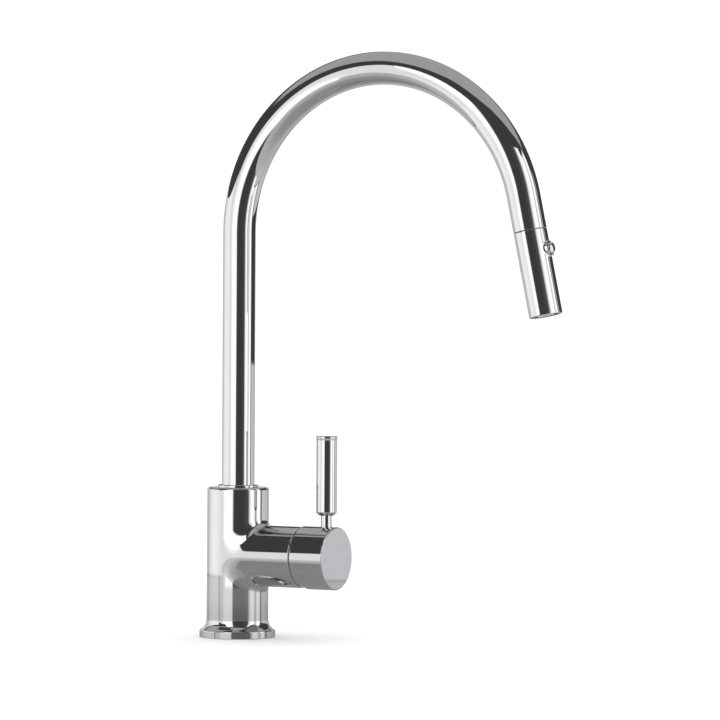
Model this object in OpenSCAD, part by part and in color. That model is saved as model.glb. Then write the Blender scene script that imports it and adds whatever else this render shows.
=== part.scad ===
// Pull-down kitchen faucet for a single deck hole.
// A column body with a lever on a horizontal barrel, a swivelling high-arc spout,
// and a spray head that pulls out of the spout on a hose.
// Frame: the origin is on the deck at the centre of the base, +Z is up, and the
// spout and the lever face -Y. "out" is a distance from the body's axis along -Y.
// "down" is a distance from the end of the arc along the axis of the spray head.

/* [Base] */
// How far the base flange reaches out past the column
flange_reach = 5.5; // [4.5:0.5:9]
// Height of the flange's rim
flange_h = 6; // [5.5:0.5:9]
// Radius of the hollow flare from the flange's rim up to the column
flange_cove = 10; // [6:0.5:12]
// Rounding of the flange's rim
flange_edge = 1.1; // [0.4:0.1:1.5]
// Thickness of the flange's floor
flange_floor = 2.5; // [2.2:0.1:3.2]

/* [Column] */
// Diameter of the column
body_d = 48; // [46.5:0.5:58]
// Height of the column's top above the deck
body_h = 116.7; // [112:0.1:140]
// Wall of the column
body_wall = 3.5; // [2.5:0.1:3.8]
// Rounding of the column's top edge
body_edge = 2.2; // [1:0.1:3]
// Depth of the socket that the spout turns in
socket_depth = 34.7; // [33:0.1:36]

/* [Barrel] */
// Height of the lever's axis above the deck
barrel_z = 63.7; // [60:0.1:66]
// How much less the barrel's radius is than the column's
barrel_step = 0.3; // [0.1:0.1:0.8]
// Distance from the column's axis to the end of the barrel
barrel_out = 58.8; // [57:0.1:72]
// Rounding of the barrel's end
barrel_edge = 0.5; // [0.3:0.1:1]

/* [Lever] */
// How much more the hub's radius is than the barrel's
hub_step = 0.6; // [0.2:0.1:1.2]
// Length of the hub
hub_l = 28.6; // [26:0.1:34]
// Wall of the hub round the dome
hub_wall = 1; // [0.8:0.1:1.4]
// Gap between the barrel and the hub
hub_gap = 1.1; // [0.8:0.1:1.6]
// Angle at which the lower back of the hub is cut away
hub_relief = 13; // [12.5:0.5:15]
// Angle through which the lever tips to open the water
lift_angle = 12; // [8:1:12]
// Distance from the back of the hub to the lever's axis
lever_back = 19.2; // [18.5:0.1:21]
// Distance from the barrel's axis to the top of the grip
lever_h = 94; // [80:1:120]
// Length of the grip
grip_l = 61; // [45:1:64]
// Diameter of the grip
grip_d = 16.6; // [14:0.2:18]
// Height of the taper at the grip's foot
grip_taper = 2; // [1:0.5:3]
// Diameter of the neck under the grip
neck_d = 8.5; // [7.5:0.5:10]

/* [Spout] */
// Diameter of the spout tube
tube_d = 25.4; // [24.6:0.2:30.6]
// Wall of the spout tube
tube_wall = 1.4; // [1.2:0.1:1.6]
// Height at which the riser starts to bend
riser_h = 314.2; // [260:0.2:380]
// Radius of the arc along the middle of the tube
arc_r = 125.2; // [90:0.2:150]
// Angle of the arc
arc_sweep = 167.8; // [150:0.2:180]
// Straight length between the arc and the spray head
tail_l = 26; // [25:0.5:34]

/* [Spray head] */
// Length of the spray head
head_l = 65; // [64:0.5:90]
// Wall of the spray head's shell
shell_wall = 1.3; // [1.1:0.1:1.5]
// Distance from the top of the spray head to the button's axis
button_down = 16; // [15:0.5:17]
// Diameter of the button
button_d = 9.2; // [8.6:0.2:9.6]
// How far the button stands out of its collar
button_proud = 2.9; // [2.6:0.1:3.6]
// Travel of the button
button_travel = 2; // [1:0.5:2.5]
// Height of the collar round the button above the shell
collar_h = 1.6; // [1:0.1:2]
// Number of nozzles in the spray ring
nozzle_count = 14; // [8:1:16]
// Diameter of a nozzle
nozzle_d = 1.6; // [1.2:0.1:1.8]

/* [Hose] */
// Diameter of the pull-out hose
hose_d = 11; // [10:0.1:11.2]
// Bore of the hose
hose_bore_d = 6; // [5:0.5:7]

/* [Cartridge] */
// Diameter of the cartridge
cart_d = 35; // [34:0.1:35.4]
// Wall of the cartridge's can
cart_wall = 2.7; // [2.4:0.1:3]
// Distance from the barrel's end back to the seat of the cartridge
cart_depth = 40.8; // [40.6:0.1:41]
// Diameter of the water ways through the cartridge
port_d = 6; // [5:0.5:6.4]
// Distance from the pivot pin to the ball at the end of the stem
ball_arm = 25; // [24.6:0.1:25.4]

/* [Under the deck] */
// Thickness of the deck that the nut is drawn against
deck_t = 30; // [10:1:38]
// Outer diameter of the threaded shank
shank_d = 33; // [32.4:0.2:33.4]
// Wall of the shank
shank_wall = 1.7; // [1.4:0.1:1.8]
// Length of the shank below the deck
shank_l = 62; // [60:1:90]
// Diameter of the mounting nut
nut_d = 52; // [50:1:58]
// Height of the mounting nut
nut_h = 10; // [8:0.5:12]
// Diameter of the threaded water inlets and outlet
inlet_d = 6.9; // [6:0.1:7]

/* [Fits] */
// Radial clearance of a shaft that turns in its bore
run_fit = 0.05; // [0.03:0.01:0.1]
// Radial clearance of pieces that sit still in each other
seat_fit = 0.03; // [0.02:0.01:0.05]
// Gap between pieces that pass each other
pass_gap = 0.35; // [0.3:0.05:0.4]

/* [Hidden] */
$fn = 96;
// Overlap that lets a cut run past the face it opens
cut = 1;
// Length that reaches past any piece
beyond = 80;

// Radii of the driving diameters
body_r = body_d / 2;
flange_r = body_r + flange_reach;
barrel_r = body_r - barrel_step;
hub_r = barrel_r + hub_step;
tube_r = tube_d / 2;
tube_bore_r = tube_r - tube_wall;
hose_r = hose_d / 2;
hose_way_r = hose_r + 0.9;
shank_r = shank_d / 2;
shank_bore_r = shank_r - shank_wall;
deck_hole_r = shank_r + 0.4;
inlet_r = inlet_d / 2;
port_r = port_d / 2;

// Flange and gasket
cove_lip = 0.5;
cove_land = 0.1;
cove_in = body_r + cove_lip;
cove_w = min(flange_r - flange_edge - cove_land - cove_in, flange_cove);
cove_h = sqrt(2 * flange_cove * cove_w - pow(cove_w, 2));
gasket_h = 1.5;
gasket_in = deck_hole_r + 5;
gasket_out = flange_r - 2.6;

// Column: a cavity below, a floor, and the socket for the spout above
cavity_r = body_r - body_wall;
bushing_wall = 2.3;
socket_r = tube_r + bushing_wall;
socket_floor = 4;
socket_z = body_h - socket_depth;
cavity_top = socket_z - socket_floor;

// Water ways down the column
way_out = hose_way_r + inlet_r + 0.75;
side_way_x = way_out * sin(48);
side_way_out = way_out * cos(48);
way_wall = 1.4;
inlet_z = 12;
inlet_l = 14;
side_port_y = 4;
low_port_y = -9;

// Cartridge along the barrel
cart_seat = barrel_out - cart_depth;
cart_r = cart_d / 2;
cart_bore_r = cart_r + 0.1;
chamber_r = cart_r - cart_wall;
pivot_out = barrel_out + hub_gap;
base_t = 6;
disc_start = cart_seat + base_t + 0.05;
disc_t = 3.4;
moving_disc_start = disc_start + disc_t + 0.1;
driver_start = moving_disc_start + disc_t + 0.05;
driver_t = 4.4;
moving_disc_r = chamber_r - ball_arm * sin(lift_angle) - 0.35;
ball_out = pivot_out - ball_arm;
ball_r = 3;
rotor_start = pivot_out - 22.9;
rotor_end = cart_seat + 32.5;
shoulder_out = cart_seat + 32;
lip_start = rotor_end + pass_gap;
can_end = shoulder_out + 7;
collar_r = cart_r - 1.6;
neck_wall = 2.5;
neck_bore_r = chamber_r - neck_wall;
rotor_neck_r = neck_bore_r - pass_gap;
rotor_neck_end = pivot_out + 5.1;
seal_h = 1.5;
seal_rim = 2.2;
seal_r = port_r + seal_rim;

// Retaining nut and dome at the barrel's mouth
mouth_wall = 2.5;
dome_skirt_r = barrel_r - mouth_wall;
lock_nut_r = dome_skirt_r - 1.2;
lock_nut_h = barrel_out - shoulder_out - 4;
dome_skirt_start = barrel_out - 3.8;
dome_r = hub_r - hub_wall - 0.3;
dome_reach = 8.1;
dome_mouth_r = neck_bore_r + 1.2;
dome_hollow_r = dome_skirt_r - 2.7;

// Hub and lever
hub_bore_l = 13.6;
stem_r = 3.9;
stem_thin_r = 3.2;
stem_square = 7.6;
stem_end = pivot_out + 22;
pin_r = 1.5;
pin_half_l = rotor_neck_r - 1.45;
neck_r = neck_d / 2;
grip_r = grip_d / 2;
grip_start = lever_h - grip_l;
neck_root = 9.5;
grip_stud = 12;
set_screw_r = 2.4;
set_screw_l = 9;

// Spout: how far its straight lengths reach into the bend, and the bend's extra wall
bend_lap = 1.5;
bend_swell = 0.05;

// End of the spout's arc
tip_out = arc_r * (1 - cos(arc_sweep));
tip_z = riser_h + arc_r * sin(arc_sweep);

// Foot of the riser in its socket
adapter_z = socket_z + 2;
tube_foot = adapter_z + 14;
adapter_r = socket_r - 0.8;
adapter_bore_r = hose_r + 2.5;
adapter_spigot_l = 12;
o_ring_r = 1.25;
bushing_start = tube_foot + 1.5;
clip_h = 1.5;
bushing_end = body_h - 3.4;
glide_h = 1.8;

// Dock at the end of the spout
seam = 0.3;
edge_break = 0.35;
dock_start = 4;
dock_lip = 3;
dock_wall = 1.9;
dock_bore_r = tube_bore_r - dock_wall;
hose_nut_r = hose_r + 1.9;
magnet_start = dock_start + dock_lip;
magnet_l = 4.6;
magnet_r = dock_bore_r + 0.8;
magnet_bore_r = hose_nut_r + 0.6;
spigot_r = dock_bore_r - pass_gap;
strike_start = magnet_start + magnet_l + 0.5;
strike_l = 1.9;
spigot_start = strike_start + strike_l;
hose_nut_start = 9;
hose_nut_l = 14.8;
washer_l = 1.2;
ferrule_r = hose_r + 1.3;
ferrule_start = 0.5;
hose_end = 8.6;

// Inside the spray head, measured down from the end of the arc
head_start = tail_l + seam;
head_end = tail_l + head_l;
shell_bore_r = tube_r - shell_wall;
core_r = shell_bore_r - seat_fit;
spigot_flange = head_start + 0.7;
core_start = spigot_flange + 3;
core_end = head_end - 11;
plate_start = core_end + 4;
plate_end = head_end - 0.6;
button_at = tail_l + button_down;
button_r = button_d / 2;
collar_in_r = button_r + pass_gap;
collar_top_r = collar_in_r + 0.9;
collar_foot_r = collar_top_r + 0.8;
collar_hole_r = collar_in_r + 0.8;
button_tip = tube_r + collar_h + button_proud;
button_foot = tube_r - 3.7;
button_round = 1.4;
spring_foot = 5.5;
spool_r = 3;
spool_rod_r = 2;
spool_end = -8;
check_r = hose_bore_d / 2 + 3.2;
check_l = 7;
nozzle_ring_r = core_r - 2.57;
aerator_r = nozzle_ring_r - 2.7;

// Under the deck
washer_t = 3;
clamp_t = 2;
deck_nut_top = -deck_t - washer_t - clamp_t;
nut_screw_at = (shank_r + nut_d / 2) / 2;
nut_screw_r = 2.4;
nut_screw_count = 3;
shank_flange_end = 9;
connector_r = hose_r + 1.1;
connector_l = 14;
connector_top = -shank_l + 2;

// ---- Places ----

// Local +Z runs out along the barrel and local +Y is up
module along_barrel(out = 0) {
  translate([0, -out, barrel_z])
    rotate([90, 0, 0])
      children();
}

// Local +Z runs down the spray head and local +Y faces its button
module along_head(down = 0) {
  translate([0, -tip_out, tip_z])
    rotate([arc_sweep, 0, 0])
      translate([0, 0, down])
        children();
}

// Local +Z runs out of the button, away from the spray head's axis
module along_button(reach = 0) {
  along_head(button_at)
    rotate([-90, 0, 0])
      translate([0, 0, reach])
        children();
}

// Local +Z runs up the lever from the barrel's axis
module along_lever(rise = 0) {
  translate([0, -pivot_out - lever_back, barrel_z + rise])
    children();
}

// ---- Shapes ----

module ring(outer, inner, height) {
  difference() {
    cylinder(r = outer, h = height);
    translate([0, 0, -cut])
      cylinder(r = inner, h = height + 2 * cut);
  }
}

// A flat area of a rod's half section, from the axis outwards
module bar(inner, outer, low, high) {
  translate([inner, low])
    square([outer - inner, high - low]);
}

// What a rounding of radius r takes off an outer corner at (x, y)
module corner_cut(x, y, r, side = 1) {
  difference() {
    translate([x - r, side > 0 ? y - r : y - cut])
      square([r + cut, r + cut]);
    translate([x - r, y - side * r])
      circle(r = r);
  }
}

// A hole along +Z from z = low to z = high
module hole(r, low, high) {
  translate([0, 0, low])
    cylinder(r = r, h = high - low);
}

// A tube from z = foot up the riser, round the arc and down the tail, whose end is rounded.
// The bend's wall is a hair thicker, so the straight ends sit wholly inside it.
module bent_tube(outer, inner, foot, tail) {
  translate([0, 0, foot])
    ring(outer, inner, riser_h + bend_lap - foot);
  translate([0, -arc_r, riser_h])
    rotate([90, 0, 90])
      rotate_extrude(angle = arc_sweep)
        translate([arc_r, 0])
          difference() {
            circle(r = outer + bend_swell);
            circle(r = inner - bend_swell);
          }
  along_head()
    rotate_extrude()
      difference() {
        bar(inner, outer, -bend_lap, tail);
        corner_cut(outer, tail, edge_break);
      }
}

// The places of the two side ports and the low port on the cartridge's seat
module at_ports() {
  for (place = [[-side_way_x, side_port_y], [side_way_x, side_port_y], [0, low_port_y]])
    translate(place)
      children();
}

// ---- Base and column ----

module base_flange() {
  color("gainsboro")
    rotate_extrude()
      difference() {
        union() {
          bar(deck_hole_r, flange_r, 0, flange_h);
          difference() {
            bar(deck_hole_r, cove_in + cove_w, 0, flange_h + cove_h);
            translate([cove_in + flange_cove, flange_h + cove_h])
              circle(r = flange_cove);
          }
        }
        bar(0, body_r + seat_fit, flange_floor, flange_h + cove_h + cut);
        bar(gasket_in, gasket_out, -cut, gasket_h);
        corner_cut(flange_r, flange_h, flange_edge);
      }
}

module deck_gasket() {
  color("black")
    ring(gasket_out - seat_fit, gasket_in + seat_fit, gasket_h);
}

module column_outside() {
  rotate_extrude()
    difference() {
      bar(0, body_r, flange_floor, body_h);
      corner_cut(body_r, body_h, body_edge);
    }
}

module barrel_outside() {
  along_barrel()
    rotate_extrude()
      difference() {
        bar(0, barrel_r, 0, barrel_out);
        corner_cut(barrel_r, barrel_out, barrel_edge);
      }
}

// What stays solid in the column's cavity: the cartridge's seat and the water ways
module column_inside() {
  along_barrel()
    cylinder(r = barrel_r - body_wall / 2, h = barrel_out - cut);
  for (x = [-side_way_x, side_way_x])
    translate([x, -side_way_out, 0])
      hole(inlet_r + way_wall, inlet_z, barrel_z);
  translate([0, -way_out, 0])
    hole(inlet_r + way_wall, inlet_z, barrel_z);
}

module water_ways() {
  for (x = [-side_way_x, side_way_x])
    translate([x, -side_way_out, 0]) {
      hole(inlet_r, inlet_z - cut, inlet_z + inlet_l);
      hole(port_r, inlet_z, barrel_z + side_port_y);
      translate([0, 0, barrel_z + side_port_y])
        rotate([90, 0, 0])
          hole(port_r, 0, cart_seat - side_way_out + cut);
    }
  translate([0, -way_out, 0]) {
    hole(inlet_r, inlet_z - cut, inlet_z + inlet_l);
    hole(port_r, inlet_z, barrel_z + low_port_y);
    translate([0, 0, barrel_z + low_port_y])
      rotate([90, 0, 0])
        hole(port_r, 0, cart_seat - way_out + cut);
  }
}

module valve_body() {
  color("gainsboro")
    difference() {
      union() {
        column_outside();
        barrel_outside();
      }
      difference() {
        hole(cavity_r, flange_floor - cut, cavity_top);
        column_inside();
      }
      hole(hose_way_r, inlet_z - cut, socket_z + cut);
      hole(socket_r, socket_z, body_h + cut);
      hole(socket_r + clip_h / 2, bushing_end, bushing_end + clip_h);
      water_ways();
      along_barrel() {
        hole(cart_bore_r, cart_seat, barrel_out);
        hole(lock_nut_r, shoulder_out, barrel_out);
        hole(dome_skirt_r, dome_skirt_start, barrel_out + cut);
      }
    }
}

module mounting_shank() {
  color("goldenrod")
    rotate_extrude()
      union() {
        bar(shank_bore_r, cavity_r - seat_fit, flange_floor, shank_flange_end);
        bar(shank_bore_r, shank_r, -shank_l, shank_flange_end);
      }
}

module deck_seal_washer() {
  color("dimgray")
    translate([0, 0, -deck_t - washer_t])
      ring(nut_d / 2 + 1, shank_r + 0.5, washer_t);
}

module clamp_washer() {
  color("silver")
    translate([0, 0, -deck_t - washer_t - clamp_t])
      ring(nut_d / 2, shank_r + 0.4, clamp_t);
}

module at_nut_screws() {
  for (i = [0 : nut_screw_count - 1])
    rotate(i * 360 / nut_screw_count + 90)
      translate([nut_screw_at, 0, 0])
        children();
}

module mounting_nut() {
  color("goldenrod")
    translate([0, 0, deck_nut_top - nut_h])
      difference() {
        cylinder(r = nut_d / 2, h = nut_h);
        hole(shank_r + seat_fit, -cut, nut_h + cut);
        at_nut_screws()
          hole(nut_screw_r + seat_fit, -cut, nut_h + cut);
        for (i = [0 : 5])
          rotate(i * 60)
            translate([nut_d / 2 + 3, 0, -cut])
              cylinder(r = 5.4, h = nut_h - 2 + cut);
      }
}

module nut_screws() {
  color("silver")
    at_nut_screws()
      difference() {
        union() {
          hole(nut_screw_r, deck_nut_top - nut_h - 6, deck_nut_top);
          hole(nut_screw_r + 1.9, deck_nut_top - nut_h - 9, deck_nut_top - nut_h - 6);
        }
        translate([-beyond / 2, -0.5, deck_nut_top - nut_h - 10])
          cube([beyond, 1, 2.4]);
      }
}

module hose_connector() {
  color("silver")
    difference() {
      union() {
        hole(connector_r, connector_top - connector_l, connector_top);
        hole(connector_r - 1.2, connector_top - connector_l - 6, connector_top);
      }
      hole(hose_r + seat_fit, connector_top - connector_l + 2, connector_top + cut);
      hole(hose_bore_d / 2, connector_top - connector_l - 7, connector_top);
    }
}

// ---- Cartridge in the barrel ----

module cartridge_base() {
  color("white")
    along_barrel(cart_seat)
      difference() {
        cylinder(r = cart_r, h = base_t);
        at_ports()
          hole(port_r, -cut, base_t + cut);
        at_ports()
          hole(seal_r + seat_fit, -cut, seal_h);
      }
}

module cartridge_seals() {
  color("black")
    along_barrel(cart_seat)
      at_ports()
        ring(seal_r, port_r + 0.3, seal_h);
}

module cartridge_can() {
  color("white")
    along_barrel()
      rotate_extrude()
        union() {
          bar(chamber_r, cart_r, cart_seat + base_t, shoulder_out);
          bar(chamber_r, collar_r, shoulder_out - cut, can_end);
          bar(neck_bore_r, collar_r, lip_start, can_end);
        }
}

module fixed_disc() {
  color("ivory")
    along_barrel(disc_start)
      difference() {
        cylinder(r = chamber_r - seat_fit, h = disc_t);
        at_ports()
          hole(port_r, -cut, disc_t + cut);
      }
}

module retaining_nut() {
  color("goldenrod")
    along_barrel(shoulder_out)
      difference() {
        ring(lock_nut_r - seat_fit, collar_r + 0.1, lock_nut_h);
        for (i = [0 : 3])
          rotate(i * 90)
            translate([collar_r + 0.6, -2, lock_nut_h - 2])
              cube([2.2, 4, 2 + cut]);
      }
}

module trim_dome() {
  color("gainsboro")
    along_barrel()
      difference() {
        union() {
          hole(dome_skirt_r - seat_fit, dome_skirt_start, barrel_out + 0.05);
          intersection() {
            translate([0, 0, pivot_out])
              sphere(r = dome_r);
            hole(beyond / 2, barrel_out + 0.05, pivot_out + dome_reach);
          }
        }
        hole(dome_hollow_r, dome_skirt_start - cut, pivot_out + dome_reach - 6);
        hole(dome_mouth_r, dome_skirt_start, pivot_out + dome_reach + cut);
      }
}

module cartridge_rotor() {
  color("lightsteelblue")
    along_barrel()
      difference() {
        union() {
          hole(chamber_r - pass_gap, rotor_start, rotor_end);
          hole(rotor_neck_r, rotor_start, rotor_neck_end);
        }
        translate([-stem_r - 0.3, -7, rotor_start - cut])
          cube([2 * stem_r + 0.6, 16.4, rotor_neck_end - rotor_start + 2 * cut]);
        translate([-pin_half_l, 0, pivot_out])
          rotate([0, 90, 0])
            cylinder(r = pin_r + 0.01, h = 2 * pin_half_l);
      }
}

module stem_pin() {
  color("silver")
    along_barrel(pivot_out)
      translate([-pin_half_l, 0, 0])
        rotate([0, 90, 0])
          cylinder(r = pin_r, h = 2 * pin_half_l);
}

module moving_disc() {
  color("ivory")
    along_barrel(moving_disc_start)
      difference() {
        cylinder(r = moving_disc_r, h = disc_t);
        translate([-5.5, -6, -cut])
          cube([11, 9, 1.6 + cut]);
      }
}

module disc_driver() {
  color("lightsteelblue")
    along_barrel(driver_start)
      difference() {
        cylinder(r = moving_disc_r, h = driver_t);
        hole(ball_r + 0.4, ball_out - ball_r - pass_gap - driver_start, driver_t + cut);
      }
}

module cartridge_stem() {
  color("silver")
    along_barrel()
      difference() {
        union() {
          translate([0, 0, ball_out])
            sphere(r = ball_r);
          hole(stem_thin_r - 0.8, ball_out, pivot_out - 20);
          hole(stem_thin_r, pivot_out - 21, pivot_out);
          hole(stem_r, pivot_out - 6, pivot_out + 6.5);
          translate([-stem_square / 2, -stem_square / 2, pivot_out + 6.4])
            cube([stem_square, stem_square, stem_end - pivot_out - 6.4]);
        }
        translate([-beyond / 2, 0, pivot_out])
          rotate([0, 90, 0])
            cylinder(r = pin_r + run_fit, h = beyond);
      }
}

// ---- Lever ----

module lever_hub() {
  color("gainsboro")
    difference() {
      along_barrel(pivot_out)
        difference() {
          rotate_extrude()
            difference() {
              bar(0, hub_r, 0, hub_l);
              corner_cut(hub_r, hub_l, 0.7);
            }
          hole(hub_r - hub_wall, -cut, hub_bore_l);
          translate([-stem_square / 2 - seat_fit, -stem_square / 2 - seat_fit, 0])
            cube([stem_square + 2 * seat_fit, stem_square + 2 * seat_fit, stem_end - pivot_out]);
          rotate([-hub_relief, 0, 0])
            translate([-beyond / 2, -beyond, -beyond])
              cube([beyond, beyond, beyond]);
        }
      along_lever()
        hole(neck_r + seat_fit, neck_root, beyond);
      along_lever()
        hole(set_screw_r + seat_fit, -hub_r - cut, -stem_square / 2);
    }
}

module lever_neck() {
  color("gainsboro")
    along_lever() {
      hole(neck_r, neck_root, grip_start);
      hole(neck_r - 1, grip_start - cut, grip_start + grip_stud);
    }
}

module lever_grip() {
  color("gainsboro")
    along_lever()
      rotate_extrude()
        difference() {
          polygon([
            [0, grip_start],
            [grip_r - grip_taper * 0.8, grip_start],
            [grip_r, grip_start + grip_taper],
            [grip_r, lever_h],
            [0, lever_h]
          ]);
          corner_cut(grip_r, lever_h, 0.6);
          bar(0, neck_r - 1 + seat_fit, grip_start - cut, grip_start + grip_stud + 0.5);
        }
}

module set_screw() {
  color("dimgray")
    along_lever(-stem_square / 2 - set_screw_l)
      difference() {
        cylinder(r = set_screw_r, h = set_screw_l);
        translate([0, 0, -cut])
          cylinder(r = 1.45, h = 3 + cut, $fn = 6);
      }
}

// ---- Spout ----

module spout_tube() {
  color("gainsboro")
    bent_tube(tube_r, tube_bore_r, tube_foot, tail_l);
}

module spout_adapter() {
  color("goldenrod")
    rotate_extrude()
      difference() {
        union() {
          bar(adapter_bore_r, adapter_r, adapter_z, tube_foot);
          bar(adapter_bore_r, tube_bore_r - seat_fit, tube_foot - cut, tube_foot + adapter_spigot_l);
        }
        for (z = [adapter_z + 4, adapter_z + 10])
          bar(socket_r - run_fit - 2 * o_ring_r, adapter_r + cut, z - o_ring_r, z + o_ring_r);
      }
}

module spout_o_rings() {
  color("black")
    for (z = [adapter_z + 4, adapter_z + 10])
      translate([0, 0, z])
        rotate_extrude()
          translate([socket_r - run_fit - o_ring_r, 0])
            circle(r = o_ring_r - 0.02, $fn = 32);
}

module swivel_bushing() {
  color("white")
    translate([0, 0, bushing_start])
      ring(socket_r - seat_fit, tube_r + run_fit, bushing_end - bushing_start);
}

module snap_ring() {
  color("silver")
    translate([0, 0, bushing_end])
      ring(socket_r + clip_h / 2 - seat_fit, tube_r + 0.6, clip_h - 0.1);
}

module glide_ring() {
  color("gainsboro")
    rotate_extrude()
      difference() {
        bar(tube_r + run_fit, socket_r + 0.9, body_h, body_h + glide_h);
        corner_cut(socket_r + 0.9, body_h + glide_h, 0.8);
      }
}

module dock_socket() {
  color("dimgray")
    along_head()
      rotate_extrude()
        difference() {
          bar(magnet_bore_r, tube_bore_r - seat_fit, dock_start, tail_l - 0.4);
          bar(0, magnet_r + seat_fit, magnet_start, magnet_start + magnet_l);
          bar(0, dock_bore_r, magnet_start + magnet_l - cut, tail_l);
        }
}

module dock_magnet() {
  color("slategray")
    along_head(magnet_start)
      ring(magnet_r, magnet_bore_r, magnet_l - 0.1);
}

// ---- Hose ----

module pullout_hose() {
  color("dimgray")
    bent_tube(hose_r, hose_bore_d / 2, connector_top - connector_l + 2, hose_end);
}

module hose_ferrule() {
  color("silver")
    along_head(ferrule_start)
      ring(ferrule_r, hose_r + seat_fit, hose_nut_start - ferrule_start);
}

module hose_nut() {
  color("goldenrod")
    along_head(hose_nut_start)
      ring(hose_nut_r, hose_bore_d / 2, hose_nut_l);
}

module hose_washer() {
  color("black")
    along_head(hose_nut_start + hose_nut_l)
      ring(hose_nut_r - 0.4, hose_bore_d / 2, washer_l);
}

// ---- Spray head ----

module dock_spigot() {
  color("dimgray")
    along_head()
      rotate_extrude()
        difference() {
          union() {
            bar(hose_bore_d / 2, spigot_r, spigot_start, core_start);
            bar(hose_bore_d / 2, core_r, spigot_flange, core_start);
          }
          bar(0, hose_nut_r + seat_fit, spigot_start - cut, hose_nut_start + hose_nut_l + washer_l);
        }
}

module strike_ring() {
  color("silver")
    along_head(strike_start)
      ring(spigot_r - 0.05, hose_nut_r + 0.1, strike_l);
}

module spray_shell() {
  color("gainsboro")
    difference() {
      along_head()
        rotate_extrude()
          difference() {
            bar(shell_bore_r, tube_r, head_start, head_end);
            bar(0, shell_bore_r + 0.4, head_end - 0.4, head_end + cut);
            corner_cut(tube_r, head_start, edge_break, -1);
            corner_cut(tube_r, head_end, edge_break + 0.15);
          }
      along_button()
        hole(collar_hole_r, 6, beyond);
    }
}

module spray_core() {
  color("white")
    difference() {
      along_head()
        difference() {
          hole(core_r, core_start, core_end);
          hole(check_r + seat_fit, core_start - cut, core_start + check_l);
          hole(4, core_start, core_end + cut);
          for (i = [0 : 5])
            rotate(i * 60 + 30)
              translate([nozzle_ring_r, 0, 0])
                hole(1.6, button_at + 6, core_end + cut);
          translate([0, 0, core_end - 2])
            ring(core_r - 0.8, aerator_r + 0.6, 3);
        }
      along_button() {
        hole(spool_r + run_fit, spool_end - button_travel - 0.5, spring_foot + cut);
        hole(button_r + pass_gap, spring_foot, beyond);
        hole(collar_hole_r + seat_fit, shell_bore_r - 2.2, beyond);
      }
    }
}

module check_valve() {
  color("lightsteelblue")
    along_head(core_start)
      difference() {
        cylinder(r = check_r, h = check_l - 0.2);
        hole(hose_bore_d / 2, -cut, 2);
        for (i = [0 : 3])
          rotate(i * 90 + 45)
            translate([3.3, 0, 0])
              hole(1.3, 1, check_l + cut);
      }
}

module button_collar() {
  color("gainsboro")
    along_button()
      difference() {
        union() {
          hole(collar_hole_r - seat_fit, shell_bore_r - 2.1, tube_r + collar_h);
          intersection() {
            translate([0, 0, tube_r - 1.6])
              cylinder(r1 = collar_foot_r + 1.1, r2 = collar_top_r, h = collar_h + 1.6);
            along_collar_seat();
          }
        }
        hole(collar_in_r, 0, beyond);
      }
}

// The space outside the spray head's round shell, in the button's own directions
module along_collar_seat() {
  difference() {
    hole(collar_foot_r + 2, 0, tube_r + collar_h);
    rotate([90, 0, 0])
      cylinder(r = tube_r + 0.01, h = beyond, center = true);
  }
}

module spray_button() {
  color("gainsboro")
    along_button()
      rotate_extrude()
        difference() {
          bar(0, button_r, button_foot, button_tip);
          corner_cut(button_r, button_tip, button_round);
        }
}

module diverter_spool() {
  color("lightsteelblue")
    along_button()
      difference() {
        union() {
          hole(spool_r, spool_end, spring_foot - button_travel);
          hole(spool_rod_r, spool_end, button_foot);
        }
        for (reach = [-3.5, 2])
          translate([0, 0, reach - 0.6])
            ring(spool_r + cut, spool_r - 0.7, 1.2);
      }
}

module button_spring() {
  color("silver")
    along_button(spring_foot)
      ring(spool_rod_r + 1.6, spool_rod_r + 0.7, button_foot - spring_foot);
}

module at_nozzles() {
  for (i = [0 : nozzle_count - 1])
    rotate(i * 360 / nozzle_count)
      translate([nozzle_ring_r, 0, 0])
        children();
}

module spray_plate() {
  color("gray")
    along_head()
      difference() {
        hole(core_r, plate_start, plate_end);
        hole(aerator_r + seat_fit, plate_start - cut, plate_end + cut);
        at_nozzles()
          hole(nozzle_d / 2 + seat_fit, plate_start - cut, plate_end + cut);
      }
}

module nozzle_membrane() {
  color("dimgray")
    along_head()
      difference() {
        union() {
          difference() {
            hole(core_r - 0.2, core_end + 0.1, plate_start);
            hole(aerator_r + seat_fit, core_end, plate_start + cut);
          }
          at_nozzles()
            hole(nozzle_d / 2, plate_start - cut, head_end - 0.1);
        }
        at_nozzles()
          hole(0.35, core_end - cut, head_end + cut);
      }
}

module aerator() {
  color("silver")
    along_head()
      difference() {
        hole(aerator_r, core_end + 0.1, head_end - 0.3);
        hole(aerator_r - 1, plate_start + 2, head_end + cut);
        hole(3.6, core_end - cut, head_end);
      }
}

base_flange();
deck_gasket();
valve_body();
mounting_shank();
deck_seal_washer();
clamp_washer();
mounting_nut();
nut_screws();
hose_connector();
cartridge_base();
cartridge_seals();
cartridge_can();
fixed_disc();
retaining_nut();
trim_dome();
swivel_bushing();
snap_ring();
glide_ring();
cartridge_rotor();
stem_pin();
moving_disc();
disc_driver();
cartridge_stem();
lever_hub();
lever_neck();
lever_grip();
set_screw();
spout_tube();
spout_adapter();
spout_o_rings();
dock_socket();
dock_magnet();
pullout_hose();
hose_ferrule();
hose_nut();
hose_washer();
dock_spigot();
strike_ring();
spray_shell();
spray_core();
check_valve();
button_collar();
spray_button();
diverter_spool();
button_spring();
spray_plate();
nozzle_membrane();
aerator();
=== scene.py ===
"""The looks of a pull-down kitchen faucet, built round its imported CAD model.

Every length is in metres, in the frame of the CAD model: the origin is on the deck
under the column, +Z is up, and the spout and the lever face -Y.
"""

import math

import bpy
import numpy as np
from mathutils import Matrix, Vector


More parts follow.
